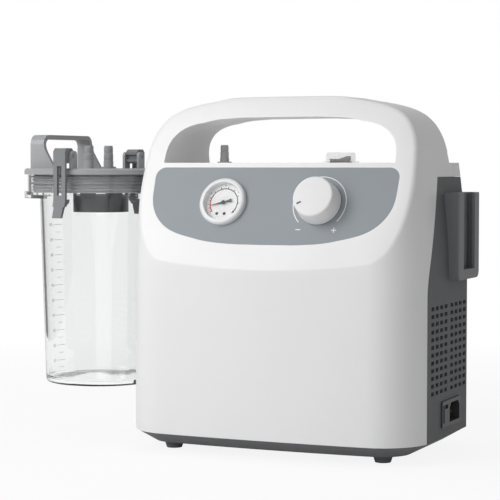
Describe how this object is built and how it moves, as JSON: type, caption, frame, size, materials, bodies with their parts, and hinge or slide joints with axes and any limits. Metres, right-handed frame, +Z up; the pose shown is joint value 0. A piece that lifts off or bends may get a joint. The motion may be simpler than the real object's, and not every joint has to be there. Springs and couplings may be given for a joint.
{
  "type": "vacuum aspirator",
  "caption": "Portable suction unit: white housing with loop handle, tilted panel with gauge and knob, and a clear collection jar on its side.",
  "frame": {"origin": "on the table, under the middle of the whole object's box", "axes": "+X to the user's right, +Y to the back, +Z up"},
  "size_m": [0.428, 0.2046, 0.2985],
  "materials": {
    "white_shell": "satin moulded",
    "dark_grey": "fine moulded texture",
    "base_grey": "fine moulded texture",
    "panel_grey": "satin film",
    "rubber_dark": "matt",
    "clear_plastic": "clear",
    "lid_grey": "satin moulded",
    "gasket_grey": "matt",
    "clip_grey": "satin moulded",
    "barb_grey": "satin moulded",
    "bezel_silver": "satin silver",
    "dial_white": "printed",
    "black_plastic": "satin",
    "steel": "zinc plated",
    "aluminium": "die cast",
    "brass": "turned",
    "magnet": "sintered"
  },
  "bodies": {
    "housing": {"front_shell": "white_shell", "rear_shell": "white_shell", "housing_screws": "steel", "side_panel_right": "dark_grey", "side_panel_left": "dark_grey", "jar_bracket_right": "dark_grey", "jar_bracket_left": "dark_grey", "base_tray": "base_grey", "rubber_feet": "rubber_dark", "control_panel": "panel_grey", "gauge_case": "steel", "gauge_bezel": "bezel_silver", "gauge_window": "clear_plastic", "gauge_dial": "dial_white", "gauge_movement": "brass", "regulator_body": "aluminium", "regulator_nut": "brass", "hose_barb": "barb_grey", "barb_nut": "brass", "switch_body": "black_plastic", "switch_cover": "clear_plastic", "inlet_body": "black_plastic", "inlet_pins": "brass", "mounting_plate": "steel", "rubber_mounts": "rubber_dark", "motor_can": "steel", "motor_magnets": "magnet", "motor_cap": "aluminium", "motor_cradle": "aluminium", "shaft_bearings": "steel", "crankcase": "aluminium", "diaphragm": "rubber_dark", "valve_plate": "aluminium", "valve_flaps": "steel", "pump_head": "aluminium", "head_screws": "steel", "silencer": "black_plastic", "manifold": "brass", "inner_tubes": "rubber_dark"},
    "jar": {"jar_body": "clear_plastic", "jar_lid": "lid_grey", "lid_gasket": "gasket_grey", "patient_port": "lid_grey", "vacuum_port": "lid_grey", "float_cup": "clip_grey", "clip_pins": "clip_grey"},
    "front_clip": {"clip_front": "clip_grey"},
    "rear_clip": {"clip_rear": "clip_grey"},
    "float": {"float_valve": "dial_white"},
    "regulator": {"regulator_knob": "white_shell", "regulator_spindle": "brass"},
    "needle": {"gauge_needle": "black_plastic"},
    "rocker": {"switch_rocker": "black_plastic"},
    "drawer": {"fuse_drawer": "black_plastic", "fuses": "clear_plastic"},
    "crank": {"crankshaft": "steel", "cooling_fan": "black_plastic"},
    "rod": {"connecting_rod": "aluminium", "clamp_disc": "steel"}
  },
  "joints": [
    {"name": "jar_lift", "type": "slide", "parent": "housing", "child": "jar", "axis": [0, 0, 1], "range_m": [0, 0.085]},
    {"name": "front_clip_turn", "type": "hinge", "parent": "jar", "child": "front_clip", "pos_m": [-0.13955, -0.04525, 0.249], "axis": [-1, 0, 0], "range_deg": [0, 40]},
    {"name": "rear_clip_turn", "type": "hinge", "parent": "jar", "child": "rear_clip", "pos_m": [-0.13955, 0.08675, 0.249], "axis": [1, 0, 0], "range_deg": [0, 40]},
    {"name": "float_rise", "type": "slide", "parent": "jar", "child": "float", "axis": [0, 0, 1], "range_m": [0, 0.016]},
    {"name": "regulator_turn", "type": "hinge", "parent": "housing", "child": "regulator", "pos_m": [0.11845, -0.08045, 0.21], "axis": [0, 0.9285, -0.3714], "range_deg": [0, 270]},
    {"name": "needle_turn", "type": "hinge", "parent": "housing", "child": "needle", "pos_m": [0.03245, -0.08045, 0.21], "axis": [0, 0.9285, -0.3714], "range_deg": [-25, 240], "stiffness_Nm_per_rad": 0.0005},
    {"name": "rocker_tilt", "type": "hinge", "parent": "housing", "child": "rocker", "pos_m": [0.10945, -0.00925, 0.243], "axis": [0, 1, 0], "range_deg": [0, 16]},
    {"name": "drawer_slide", "type": "slide", "parent": "housing", "child": "drawer", "axis": [1, 0, 0], "range_m": [0, 0.018]},
    {"name": "crank_turn", "type": "hinge", "parent": "housing", "child": "crank", "pos_m": [0.02245, -0.01525, 0.066], "axis": [1, 0, 0], "continuous": true, "deforming": ["diaphragm"]},
    {"name": "rod_turn", "type": "hinge", "parent": "crank", "child": "rod", "pos_m": [0.02245, -0.01525, 0.068], "axis": [1, 0, 0], "continuous": true}
  ],
  "couplings": [
    {"joint": "rod_turn", "follows": "crank_turn", "ratio": -1}
  ]
}
